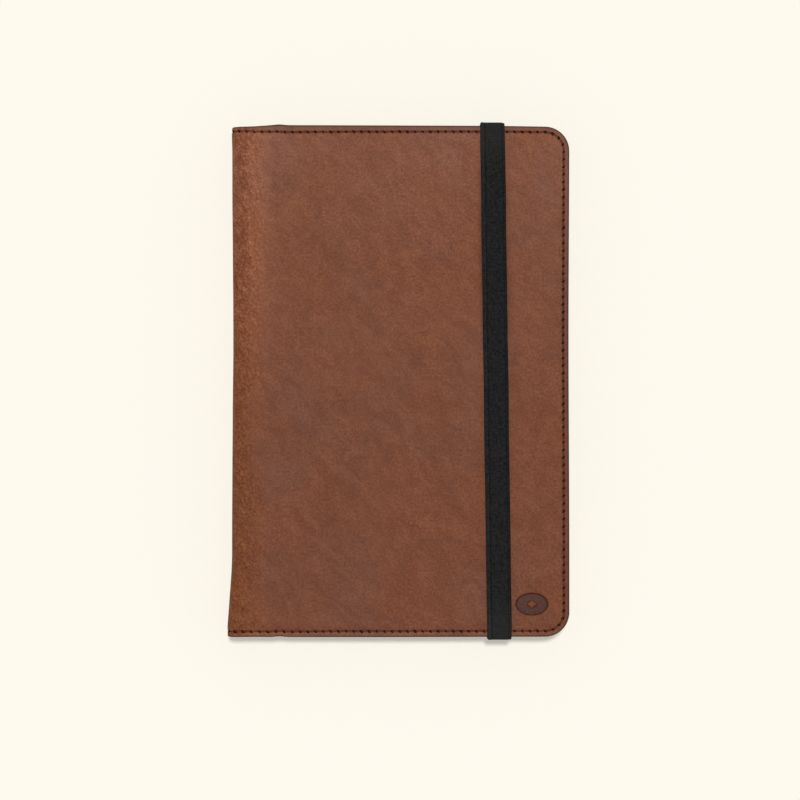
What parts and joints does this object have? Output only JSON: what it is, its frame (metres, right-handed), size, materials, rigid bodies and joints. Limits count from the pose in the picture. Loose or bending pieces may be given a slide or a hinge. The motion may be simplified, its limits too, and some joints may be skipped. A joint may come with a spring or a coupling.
{
  "type": "notebook cover",
  "caption": "Leather cover sewn round a hardback notebook, with a folding spine, inner sleeves and an elastic strap round its front.",
  "frame": {"origin": "middle of the closed cover's footprint, on the back face that it rests on", "axes": "+Z from the back to the front face, +Y from the foot to the head, -X towards the spine and +X towards the fore-edge"},
  "size_m": [0.1466, 0.2246, 0.0218],
  "materials": {
    "case_leather": "mottled brown pull-up leather, soft satin",
    "sleeve_leather": "smooth brown leather, satin",
    "seam_thread": "waxed dark brown thread",
    "elastic": "black woven elastic, matte",
    "page_paper": "uncoated cream paper",
    "endpaper": "uncoated cream paper",
    "binding_cloth": "woven binding cloth",
    "notebook_board": "black covered board, matte"
  },
  "bodies": {
    "back_cover": {"back_endpaper": "endpaper", "back_outer_leather": "case_leather", "back_seam_thread": "seam_thread", "back_sleeve_leather": "sleeve_leather", "foot_headband": "binding_cloth", "head_headband": "binding_cloth", "notebook_back_board": "notebook_board", "page_block_lining": "binding_cloth", "page_signature_1": "page_paper", "page_signature_2": "page_paper", "page_signature_3": "page_paper", "page_signature_4": "page_paper", "page_signature_5": "page_paper", "page_signature_6": "page_paper", "page_signature_7": "page_paper", "page_signature_8": "page_paper", "strap_sewn_ends": "elastic"},
    "spine": {"back_fold_leather": "case_leather", "notebook_spine_card": "notebook_board", "spine_lining_leather": "sleeve_leather", "spine_outer_leather": "case_leather", "spine_seam_thread": "seam_thread"},
    "front_cover": {"front_endpaper": "endpaper", "front_fold_leather": "case_leather", "front_outer_leather": "case_leather", "front_seam_thread": "seam_thread", "front_sleeve_leather": "sleeve_leather", "notebook_front_board": "notebook_board"},
    "strap": {"elastic_strap": "elastic"}
  },
  "joints": [
    {"name": "spine_fold", "type": "hinge", "parent": "back_cover", "child": "spine", "pos_m": [-0.07239, 0, 0.00086], "axis": [0, -1, 0], "range_deg": [0, 90], "deforming": ["back_fold_leather"]},
    {"name": "front_fold", "type": "hinge", "parent": "spine", "child": "front_cover", "pos_m": [-0.07239, 0, 0.01974], "axis": [0, -1, 0], "range_deg": [0, 90], "deforming": ["front_fold_leather"]},
    {"name": "strap_release", "type": "slide", "parent": "back_cover", "child": "strap", "axis": [1, 0, 0], "range_m": [0, 0.037], "deforming": ["elastic_strap"]}
  ],
  "couplings": [
    {"joint": "front_fold", "follows": "spine_fold", "ratio": 1}
  ]
}
